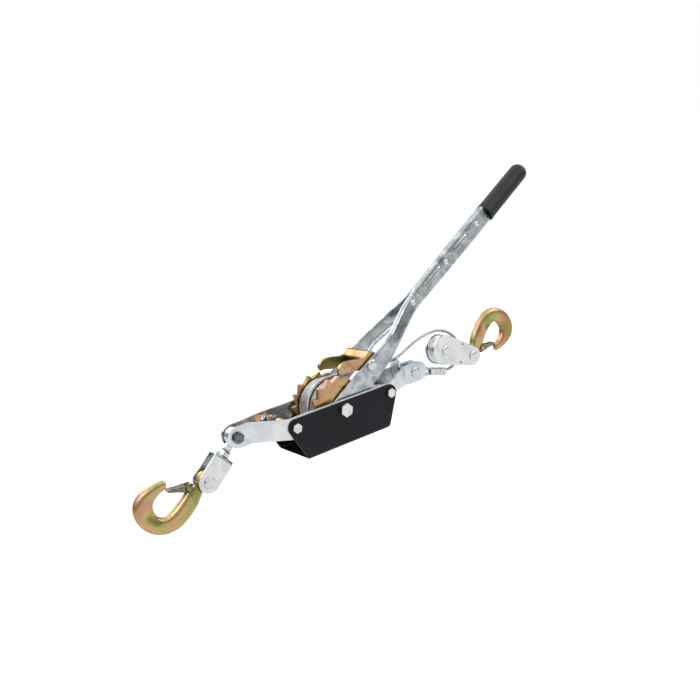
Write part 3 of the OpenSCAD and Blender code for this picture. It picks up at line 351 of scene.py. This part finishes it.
# ---------- floor and light ----------
def seamless_floor(height):
    """Plain white floor that lifts to white under the light and keeps the object's soft shadow."""
    mesh = bpy.data.meshes.new("floor")
    far = 60
    corners = [(-far, -far, height), (far, -far, height), (far, far, height), (-far, far, height)]
    mesh.from_pydata(corners, [], [(0, 1, 2, 3)])
    floor = bpy.data.objects.new("floor", mesh)
    bpy.context.scene.collection.objects.link(floor)
    made, tree = new_material("white_paper")
    diffuse = add(tree, "BsdfDiffuse", {"Color": linear("#E6E6E6")})
    seen_glow, mirrored_glow = 0.66, 0.22
    path = add(tree, "LightPath")
    mirrored = add(tree, "Math", {0: path.outputs["Is Glossy Ray"], 1: mirrored_glow}, operation="MULTIPLY")
    lift = add(tree, "Math", {
        0: path.outputs["Is Camera Ray"], 1: seen_glow,
        2: mirrored.outputs["Value"]}, operation="MULTIPLY_ADD")
    glow = add(tree, "Emission", {"Color": (1, 1, 1, 1), "Strength": lift.outputs["Value"]})
    both = add(tree, "AddShader", {0: diffuse.outputs["BSDF"], 1: glow.outputs["Emission"]})
    add(tree, "OutputMaterial", {"Surface": both.outputs["Shader"]})
    mesh.materials.append(made)


def softbox(name, place, size, power):
    """Square lamp that looks at the middle of the winch."""
    middle = Vector((0.03, 0, 0.07))
    data = bpy.data.lights.new(name, "AREA")
    data.size = size
    data.energy = power
    lamp = bpy.data.objects.new(name, data)
    lamp.location = place
    lamp.rotation_mode = "QUATERNION"
    lamp.rotation_quaternion = (middle - Vector(place)).to_track_quat("-Z", "Y")
    bpy.context.scene.collection.objects.link(lamp)


def studio():
    """White surroundings; metal mirrors them as a sweep from dark at the horizon to white overhead."""
    world = bpy.data.worlds.new("studio")
    bpy.context.scene.world = world
    world.use_nodes = True
    tree = world.node_tree
    tree.nodes.clear()
    path = add(tree, "LightPath")
    height = add(tree, "SeparateXYZ", {"Vector": add(tree, "TexCoord").outputs["Generated"]})
    sky = add(tree, "ValToRGB", {"Fac": height.outputs["Z"]}, [
        (0.0, "#2C3036"), (0.16, "#5C6167"), (0.34, "#BFC3C8"), (0.55, "#FFFFFF")])
    wall = add(tree, "Background", {"Color": (1, 1, 1, 1), "Strength": 0.5})
    seen = add(tree, "Background", {"Color": (1, 1, 1, 1), "Strength": 1.0})
    mirrored = add(tree, "Background", {"Color": sky.outputs["Color"], "Strength": 1.0})
    glossy = add(tree, "MixShader", {
        0: path.outputs["Is Glossy Ray"], 1: wall.outputs["Background"], 2: mirrored.outputs["Background"]})
    final = add(tree, "MixShader", {
        0: path.outputs["Is Camera Ray"], 1: glossy.outputs["Shader"], 2: seen.outputs["Background"]})
    add(tree, "OutputWorld", {"Surface": final.outputs["Shader"]})


# low enough that neither hook reaches it, however far its chain of joints hangs down
seamless_floor(-0.1)
studio()
softbox("key_light", (-0.9, -1.1, 1.5), 0.9, 9)
softbox("side_light", (1.3, -0.7, 0.9), 0.8, 4)
softbox("back_light", (-0.2, 1.4, 1.2), 1.2, 6)
bpy.context.scene.view_settings.view_transform = "Standard"


# ---------- pieces ----------
def make_piece(name, points, faces, material, slot):
    """Smooth mesh piece from points in mm over the tray's underside."""
    mesh = bpy.data.meshes.new(name)
    mesh.from_pydata((np.asarray(points, float) * MM).tolist(), [], faces)
    mesh.materials.append(material)
    mesh.shade_smooth()
    piece = bpy.data.objects.new(name, mesh)
    bpy.context.scene.collection.objects.link(piece)
    return piece


def soften(piece, degrees):
    """Keeps a piece's sharper edges crisp while the rest stays smooth."""
    edit = bmesh.new()
    edit.from_mesh(piece.data)
    for edge in edit.edges:
        edge.smooth = len(edge.link_faces) == 2 and edge.calc_face_angle(0) < math.radians(degrees)
    edit.to_mesh(piece.data)
    edit.free()


def smooth_line(points, step):
    """Evenly spaced points on a smooth curve through the given ones; further columns follow along."""
    p = np.asarray(points, float)
    p = np.vstack([2 * p[0] - p[1], p, 2 * p[-1] - p[-2]])
    fine = []
    for i in range(1, len(p) - 2):
        a, b, c, d = p[i - 1 : i + 3]
        for t in np.linspace(0, 1, 12, endpoint=False):
            fine.append(0.5 * (2 * b + (c - a) * t + (2 * a - 5 * b + 4 * c - d) * t**2
                               + (3 * b - a - 3 * c + d) * t**3))
    fine = np.array(fine + [p[-2]])
    length = np.concatenate([[0], np.cumsum(np.linalg.norm(np.diff(fine[:, :3], axis=0), axis=1))])
    at = np.linspace(0, length[-1], max(2, int(round(length[-1] / step)) + 1))
    return np.column_stack([np.interp(at, length, column) for column in fine.T]), at


def frames(line):
    """Two unit vectors across the line at every point, carried along it without twisting."""
    t = np.gradient(line, axis=0)
    t /= np.linalg.norm(t, axis=1)[:, None]
    # any direction will do that isn't the line's own
    u = np.cross(t[0], (0.1, 1, 0.05))
    across = []
    for k in range(len(line)):
        u = u - t[k] * np.dot(u, t[k])
        u = u / np.linalg.norm(u)
        across.append(u)
    across = np.array(across)
    return across, np.cross(t, across)


def band(rings, across, loop=False):
    """Faces between neighbouring rings of points, and from the last to the first where they loop."""
    return [(i * across + k, i * across + (k + 1) % across,
             (i + 1) % rings * across + (k + 1) % across, (i + 1) % rings * across + k)
            for i in range(rings if loop else rings - 1) for k in range(across)]


def ends(rings, across):
    """The two flat faces that close a tube."""
    return [tuple(range(across))[::-1], tuple((rings - 1) * across + k for k in range(across))]


def tube(line, across, other, radius, sides):
    """Points and faces of a closed round tube along a line."""
    angles = np.linspace(0, 2 * np.pi, sides, endpoint=False)
    points = (line[:, None] + radius * (across[:, None] * np.cos(angles)[None, :, None]
              + other[:, None] * np.sin(angles)[None, :, None])).reshape(-1, 3)
    return points, band(len(line), sides) + ends(len(line), sides)


def joined(shapes):
    """Points and faces of several closed shapes as one."""
    points, faces, count = [], [], 0
    for p, f in shapes:
        points.append(p)
        faces += [tuple(v + count for v in face) for face in f]
        count += len(p)
    return np.vstack(points), faces


# number of strands, their radius, the length of one full twist and the sides of a strand's section
STRANDS, STRAND_R, LAY, STRAND_SIDES = 6, 0.68, 25.0, 8


def stranded_rope(name, centre, body, node):
    """Six strands laid round a core along the rope's middle line."""
    line, at = smooth_line(np.asarray(centre) + (0, 0, AXLE), 0.9)
    across, other = frames(line)
    core_r = ROPE_R - STRAND_R
    tubes = []
    for k in range(STRANDS):
        turn = 2 * np.pi * (k / STRANDS + at / LAY)
        out = across * np.cos(turn)[:, None] + other * np.sin(turn)[:, None]
        strand = line + out * core_r
        tubes.append(tube(strand, *frames(strand), STRAND_R, STRAND_SIDES))
    tubes.append(tube(line, across, other, core_r, STRAND_SIDES))
    points, faces = joined(tubes)
    rope = make_piece(name, points, faces, WIRE, "wire_rope")
    # how far each point stands out of the lay, read by the wire's finish
    middle = np.tile(np.repeat(line, STRAND_SIDES, axis=0), (len(tubes), 1))
    ridge = (np.linalg.norm(points - middle, axis=1) - ROPE_R + STRAND_R) / STRAND_R
    rope.data.attributes.new("ridge", "FLOAT", "POINT").data.foreach_set("value", ridge)
    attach(rope, body)
    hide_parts(node)


stranded_rope("pull_rope", rope_line(), "frame", "cable")
stranded_rope("wound_rope", layer_line(), "drum", "wound_cable")


# ---------- forged hooks ----------
# the pin each hook hangs on, round the drum's axle, and how the hook is turned on it
YOKE_PIN, YOKE_ANGLE = (-166.646, -31.595), 189.7
BLOCK_PIN, BLOCK_ANGLE = (219.723, -1.698), 23.0
# half thickness and outside radius of a hook's eye, and the radius of the holes for the big pins
HOOK_THICK, EYE_R, PIN_R = 5.8, 12.0, 4.05
# the latch's boss in the hook's own frame, with its rivet hole and the groove for the spring
LATCH_PIVOT, BOSS_R, BOSS_HALF, PIVOT_R = (21.5, -4.5), 4.6, 3.6, 1.65
GROOVE_DEEP, GROOVE_HALF = 2.05, 2.6
# a hook's middle line in its own frame, with its half width and its half depth
HOOK_LINE = [
    (11.0, 0.5, 7.6, 5.0), (18.5, 5.5, 9.2, 5.4), (25.8, 10.9, 10.0, 5.7), (36.5, 16.6, 10.2, 5.8),
    (46.8, 20.2, 10.2, 5.8), (56.2, 20.6, 9.6, 5.8), (63.8, 17.8, 9.2, 5.8), (69.3, 12.5, 9.4, 5.8),
    (72.7, 5.5, 9.9, 5.8), (73.9, -2.9, 10.4, 5.8), (72.2, -10.5, 10.5, 5.8), (67.0, -16.0, 9.7, 5.6),
    (60.2, -19.1, 7.9, 5.2), (52.8, -20.7, 6.2, 4.6), (46.6, -20.9, 5.5, 4.2), (43.2, -20.6, 4.8, 3.8),
    (41.6, -20.3, 3.9, 3.2), (40.9, -20.1, 1.8, 1.6),
]


def flat_tube(line, power, sides):
    """Closed tube in the XZ plane, a rounded slab in section; the line's last columns are its half sizes."""
    path = line[:, :3]
    t = np.gradient(path, axis=0)
    t /= np.linalg.norm(t, axis=1)[:, None]
    across = np.cross(t, (0, 1, 0))
    angles = np.linspace(0, 2 * np.pi, sides, endpoint=False)
    c, s = np.cos(angles), np.sin(angles)
    c, s = np.sign(c) * abs(c) ** (2 / power), np.sign(s) * abs(s) ** (2 / power)
    points = (path[:, None] + across[:, None] * (line[:, 3, None] * c)[:, :, None]
              + np.array((0, 1, 0)) * (line[:, 4, None] * s)[:, :, None]).reshape(-1, 3)
    return points, band(len(line), sides) + ends(len(line), sides)


def turned(profile, at, sides=64):
    """Closed ring turned about a Y axis through a point of the side view, from (radius, y) points."""
    m = len(profile)
    angles = np.linspace(0, 2 * np.pi, sides, endpoint=False)
    points = [(at[0] + r * math.cos(a), y, at[1] + r * math.sin(a)) for a in angles for r, y in profile]
    return np.array(points), band(sides, m, loop=True)


def drill(radius, reach, at, sides=64):
    """Cutter for a round hole that goes that far to both sides of the middle."""
    return turned([(0.01, -reach), (radius, -reach), (radius, reach), (0.01, reach)], at, sides)


def plain_object(name, points, faces):
    """Helper object in mm that is used for cutting and then thrown away."""
    mesh = bpy.data.meshes.new(name)
    mesh.from_pydata(np.asarray(points, float).tolist(), [], faces)
    edit = bmesh.new()
    edit.from_mesh(mesh)
    bmesh.ops.recalc_face_normals(edit, faces=edit.faces)
    edit.to_mesh(mesh)
    edit.free()
    made = bpy.data.objects.new(name, mesh)
    bpy.context.scene.collection.objects.link(made)
    return made


def machined(blank, cuts):
    """Points and faces of a blank with the cuts taken out of it; blank and cutters are thrown away."""
    tools = [plain_object("tool", *cut) for cut in cuts]
    for tool in tools:
        cut = blank.modifiers.new("cut", "BOOLEAN")
        cut.operation, cut.solver, cut.object = "DIFFERENCE", "EXACT", tool
    done = blank.evaluated_get(bpy.context.evaluated_depsgraph_get()).to_mesh()
    points = np.array([tuple(v.co) for v in done.vertices])
    faces = [tuple(f.vertices) for f in done.polygons]
    for made in [blank] + tools:
        bpy.data.objects.remove(made)
    return points, faces


def forged(shapes, cuts, voxel, rounds):
    """Points and faces of the shapes grown into one smooth forging, with the cuts machined out of it."""
    blank = plain_object("blank", *joined(shapes))
    grown = blank.modifiers.new("grown", "REMESH")
    grown.mode, grown.voxel_size = "VOXEL", voxel
    soft = blank.modifiers.new("soft", "SMOOTH")
    soft.factor, soft.iterations = 0.5, rounds
    return machined(blank, cuts)


def forged_hook():
    """Hook in its own frame in mm: flattened bowl and back, ring eye, and the boss that carries the latch."""
    line, _ = smooth_line([(x, 0, z, wide, deep) for x, z, wide, deep in HOOK_LINE], 0.7)
    shank = flat_tube(line, power=2.5, sides=48)
    rim = [(EYE_R, -3.2), (EYE_R - 0.5, -4.4), (EYE_R - 1.5, -5.3), (EYE_R - 3, -HOOK_THICK),
           (PIN_R + 0.6, -HOOK_THICK), (PIN_R, -5.2)]
    eye = turned(rim + [(r, -y) for r, y in rim[::-1]], (0, 0))
    knob = [(BOSS_R, -BOSS_HALF + 0.3), (BOSS_R - 0.3, -BOSS_HALF), (PIVOT_R, -BOSS_HALF)]
    boss = turned(knob + [(r, -y) for r, y in knob[::-1]], LATCH_PIVOT)
    groove = [(BOSS_R, -GROOVE_HALF), (BOSS_R + GROOVE_DEEP, -GROOVE_HALF),
              (BOSS_R + GROOVE_DEEP, GROOVE_HALF), (BOSS_R, GROOVE_HALF)]
    cuts = [drill(PIN_R, 9, (0, 0)), drill(PIVOT_R, 9, LATCH_PIVOT, 32), turned(groove, LATCH_PIVOT, 48)]
    return forged([shank, eye, boss], cuts, voxel=0.45, rounds=3)


def placed(points, at, angle):
    """Points of a piece's own frame turned and carried to a place, in mm over the tray's underside."""
    c, s = polar(1, angle)
    x, y, z = np.asarray(points, float).T
    return np.column_stack([at[0] + x * c - z * s, y, AXLE + at[1] + x * s + z * c])


# the latch's own angle in the hook's frame, its sheet and the outside and inside radius of its bends
LATCH_ANGLE, LATCH_SHEET, BEND_OUT, BEND_IN = -22.0, 1.2, 1.6, 0.4
# the folded latch along its length: outer half width, web's edge, open edge
LATCH = [
    (5.2, 5.1, -3.9, 3.9), (7.5, 4.9, -3.6, 3.3), (10, 4.6, -3.2, 2.7), (14, 4.3, -2.8, 2.2),
    (19, 4.1, -2.5, 1.9), (22, 3.9, -2.4, 1.7), (23.2, 3.3, -1.9, 1.2),
]
# inner and outer face of its two round ears, and their section
EAR_IN, EAR_OUT = 3.9, 5.1
EAR = [(0.01, EAR_IN), (4.2, EAR_IN), (4.2, 5.0), (3.9, EAR_OUT), (0.01, EAR_OUT)]
# side view of the plate between an ear and the channel
EAR_PLATE = [(-3, -3.4), (5.4, -3.9), (5.4, 3.9), (-1, 3.8)]


def carried(x, y, z, at, angle):
    """A point of a piece's own frame turned and carried to a place of the side view."""
    c, s = polar(1, angle)
    return at[0] + x * c - z * s, y, at[1] + x * s + z * c


def loft(rings):
    """Points and faces of a closed solid through rings of equal count."""
    m = len(rings[0])
    faces = band(len(rings), m)
    half = m // 2
    for first in (0, (len(rings) - 1) * m):
        faces += [(first + k, first + k + 1, first + m - 2 - k, first + m - 1 - k) for k in range(half - 1)]
    return np.array([p for ring in rings for p in ring]), faces


def quarter(steps):
    """Angles of a quarter turn, in radians."""
    return [math.radians(90 * k / steps) for k in range(steps + 1)]


def channel(out, web, edge, radius):
    """Open channel section as (y, z) points: side, bend, web, bend, side."""
    left = [(-out, edge)]
    left += [(-out + radius - radius * math.cos(a), web + radius - radius * math.sin(a)) for a in quarter(5)]
    return left + [(-y, z) for y, z in left[::-1]]


def folded_latch():
    """Latch in the hook's frame: a folded channel with two round ears on the rivet."""
    rings = []
    for x, out, web, edge in LATCH:
        outside = channel(out, web, edge, BEND_OUT)
        inside = channel(out - LATCH_SHEET, web + LATCH_SHEET, edge, BEND_IN)
        rings.append([carried(x, y, z, LATCH_PIVOT, LATCH_ANGLE) for y, z in outside + inside[::-1]])
    shapes = [loft(rings)]
    for side in (-1, 1):
        shapes.append(turned([(r, side * y) for r, y in EAR], LATCH_PIVOT, 48))
        shapes.append(loft([[carried(x, side * y, z, LATCH_PIVOT, LATCH_ANGLE) for x, z in EAR_PLATE]
                            for y in (EAR_IN, EAR_OUT)]))
    return joined(shapes)


hook_points, hook_faces = forged_hook()
latch_points, latch_faces = folded_latch()
for end, at, angle in (("front", YOKE_PIN, YOKE_ANGLE), ("rear", BLOCK_PIN, BLOCK_ANGLE)):
    points = placed(hook_points, at, angle)
    hook = make_piece("forged_" + end + "_hook", points, hook_faces, CHROMATE, "chromate")
    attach(hook, end + "_hook")
    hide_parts(end + "_hook")
    points = placed(latch_points, at, angle)
    latch = make_piece("folded_" + end + "_latch", points, latch_faces, OLIVE, "chromate")
    soften(latch, 35)
    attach(latch, end + "_latch")
    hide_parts(end + "_latch")


# ---------- pressed handle ----------
# the lever's slope, its sheet and where the pressing ends inside the sleeve
HANDLE_ANGLE, SHEET, HANDLE_END = 31.2, 2.5, 410.0
# the drive pawl's pin, round the drum's axle
PAWL_PIN = polar(63.3, HANDLE_ANGLE + 5)
# distance from the axle, outer face, flange depth, top edge, bottom edge, top and bottom bend radius
HALF = [
    (-12.6, 27.8, 2.6, 3.5, -3.5, 0.5, 0.5), (-11, 27.8, 2.6, 7.2, -7.2, 0.5, 0.5),
    (-7, 27.8, 2.6, 11, -11, 0.5, 0.5), (0, 27.8, 2.6, 13, -13, 0.5, 0.5),
    (10, 27.8, 2.6, 13.6, -13.3, 0.6, 0.6), (30, 27.8, 2.6, 13.8, -13, 1.0, 1.0),
    (60, 27.8, 2.8, 12.6, -12.2, 1.6, 1.6), (78, 27.8, 3.4, 11.9, -11.6, 2.4, 2.4),
    (90, 27.8, 4.6, 11.4, -10.9, 2.8, 4.0), (105, 26.3, 5.4, 11.2, -8.9, 3, 5.0),
    (120, 21.3, 5.4, 11.3, -8.7, 3, 5.2), (135, 16.2, 5.4, 11.9, -8.8, 3, 5.2),
    (150, 10.9, 5.4, 12.1, -8.4, 3, 5.0), (165, 7.1, 5.2, 11.8, -8.0, 3, 4.2),
    (180, 5.4, 5.2, 11.8, -8.0, 3, 3.4), (200, 5.2, 5.15, 12.0, -8.6, 3, 3),
    (255, 5.2, 5.15, 12.9, -9.2, 3, 3), (330.6, 5.2, 5.15, 13.1, -9.8, 3, 3),
    (333, 5.2, 5.15, 7, -6.5, 3, 3), (HANDLE_END, 5.2, 5.15, 6.5, -6.5, 3, 3),
]
# the two long ribs: start and end along the lever, half width, height and place across it
BEADS = [(190.6, 226.8), (256.6, 285.4)]
BEAD_WIDE, BEAD_HIGH, BEAD_Z = 3.2, 1.5, 4.4
# each rivet's distance from the axle, height over the lever's middle line, and the face its heads lie on
RIVETS = [(165, 4.0, 7.2), (238, 3.0, 5.2), (308, 3.0, 5.2)]
RIVET_R, RIVET_HIGH = 3.6, 2.0
# the soft sleeve from its mouth to where its round end starts, as (distance from the axle, radius)
SLEEVE = [
    (334, 0.02), (334, 5), (330.6, 10), (330, 11.2), (330.2, 12.0), (331, 12.4), (335, 12.3), (340, 12.0),
    (409, 11.8),
]
# the round end: where it starts, its length and depth, and the radius of the flat in its middle
ROUND_FROM, ROUND_LONG, ROUND_DEEP, FLAT_R = 410, 9.6, 8.6, 3.2
SLEEVE_UP = 1.06  # the sleeve's middle over the lever's middle line


def half_measures():
    """Measures of the pressed half every 1.5 mm along the handle, eased between the given ones."""
    table = np.array(HALF)
    at = np.arange(table[0, 0], HANDLE_END, 1.5)
    slopes = np.zeros_like(table)
    for k in range(1, len(table) - 1):
        before = (table[k] - table[k - 1]) / (table[k, 0] - table[k - 1, 0])
        after = (table[k + 1] - table[k]) / (table[k + 1, 0] - table[k, 0])
        same = before * after > 0
        slopes[k] = np.where(same, 2 * before * after / np.where(same, before + after, 1), 0)
    rows = []
    for r in at:
        k = min(np.searchsorted(table[:, 0], r, "right") - 1, len(table) - 2)
        wide = table[k + 1, 0] - table[k, 0]
        u = (r - table[k, 0]) / wide
        rows.append((2 * u**3 - 3 * u**2 + 1) * table[k] + (u**3 - 2 * u**2 + u) * wide * slopes[k]
                    + (3 * u**2 - 2 * u**3) * table[k + 1] + (u**3 - u**2) * wide * slopes[k + 1])
    rows = np.array(rows)
    rows[:, 0] = at
    return rows


def bead_height(r, z):
    """How far the two long ribs stand out of the web at a place."""
    high = 0
    for start, end in BEADS:
        past = max(start + BEAD_WIDE - r, r - end + BEAD_WIDE, 0)
        off = math.hypot(past, z - BEAD_Z) / BEAD_WIDE
        if off < 1:
            high = BEAD_HIGH * (1 - off**2) ** 0.8
    return high


def pressed_half(side):
    """One half of the lever: flat arm, turned flanges and the web with its two long ribs."""
    rings = []
    turn = quarter(7)
    for r, out, deep, top, bottom, upper, lower in half_measures():
        outlines = []
        for shift in (0, SHEET):
            up, low = max(upper - shift, 0.1), max(lower - shift, 0.1)
            face, zt, zb = -out + shift, top - shift, bottom + shift
            # the arm round the drum is flat: without flanges, its inner face ends just short of the edges
            if shift and deep < SHEET + 0.2:
                zt, zb = top - 0.6, bottom + 0.6
            line = [(-out + deep, zt)]
            line += [(face + up - up * math.sin(a), zt - up + up * math.cos(a)) for a in turn]
            line += [(face, z) for z in np.linspace(zt - up, zb + low, 30)[1:-1]]
            line += [(face + low - low * math.cos(a), zb + low - low * math.sin(a)) for a in turn]
            line += [(-out + deep, zb)]
            outlines.append([(y - bead_height(r, z) if abs(y - face) < 0.01 else y, z) for y, z in line])
        ring = outlines[0] + outlines[1][::-1]
        rings.append([carried(r, side * -y, z, (0, 0), HANDLE_ANGLE) for y, z in ring])
    bores = [drill(PIN_R, 40, at) for at in ((0, 0), PAWL_PIN)]
    points, shell = machined(plain_object("blank", *loft(rings)), bores)
    return points + (0, 0, AXLE), shell


for name, side in (("near", -1), ("far", 1)):
    half = make_piece("pressed_" + name + "_half", *pressed_half(side), PRESSED_SHADED, "zinc")
    soften(half, 40)
    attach(half, "handle")
    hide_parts(name + "_handle_half")


def lathe(profile, sides=48):
    """Closed solid turned about the X axis from (x, radius) points."""
    m = len(profile)
    angles = np.linspace(0, 2 * np.pi, sides, endpoint=False)
    points = [(x, r * math.cos(a), r * math.sin(a)) for a in angles for x, r in profile]
    faces = [(i * m + k, i * m + k + 1, (i + 1) % sides * m + k + 1, (i + 1) % sides * m + k)
             for i in range(sides) for k in range(m - 1)]
    return np.array(points), faces


def dome(radius, height, steps=6):
    """Profile of a low rivet head with a softly rounded edge, as (height, radius) points."""
    edge = [(height * math.sin(a), radius * math.cos(a)) for a in quarter(steps)[:-1]]
    return edge + [(height, 0.02)]


# round heads of the rivets that hold the two halves together
heads = []
points, faces = lathe([(-1, 0.02), (-1, RIVET_R)] + dome(RIVET_R, RIVET_HIGH))
for r, z, out in RIVETS:
    for side in (-1, 1):
        head = np.column_stack([r + points[:, 2], side * (out + points[:, 0]), z + points[:, 1]])
        heads.append((head, faces))
points, faces = joined(heads)
rivets = make_piece("lever_rivets", placed(points, (0, 0), HANDLE_ANGLE), faces, ZINC, "zinc")
soften(rivets, 50)
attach(rivets, "handle")
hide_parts("handle_rivets")

# soft sleeve, a little thicker at its mouth
round_end = [(ROUND_FROM + ROUND_LONG * math.sin(a), FLAT_R + ROUND_DEEP * math.cos(a)) for a in quarter(9)]
points, faces = lathe(SLEEVE + round_end + [(419.9, 0.02)], 64)
points = placed(points + (0, 0, SLEEVE_UP), (0, 0), HANDLE_ANGLE)
sleeve = make_piece("grip_sleeve", points, faces, RUBBER, "rubber_grip")
soften(sleeve, 50)
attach(sleeve, "handle")
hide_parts("grip")


# ---------- finishes of the frame's own nodes ----------
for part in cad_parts.values():
    for slot in part.material_slots:
        slot.material = FINISHES[slot.material.name]
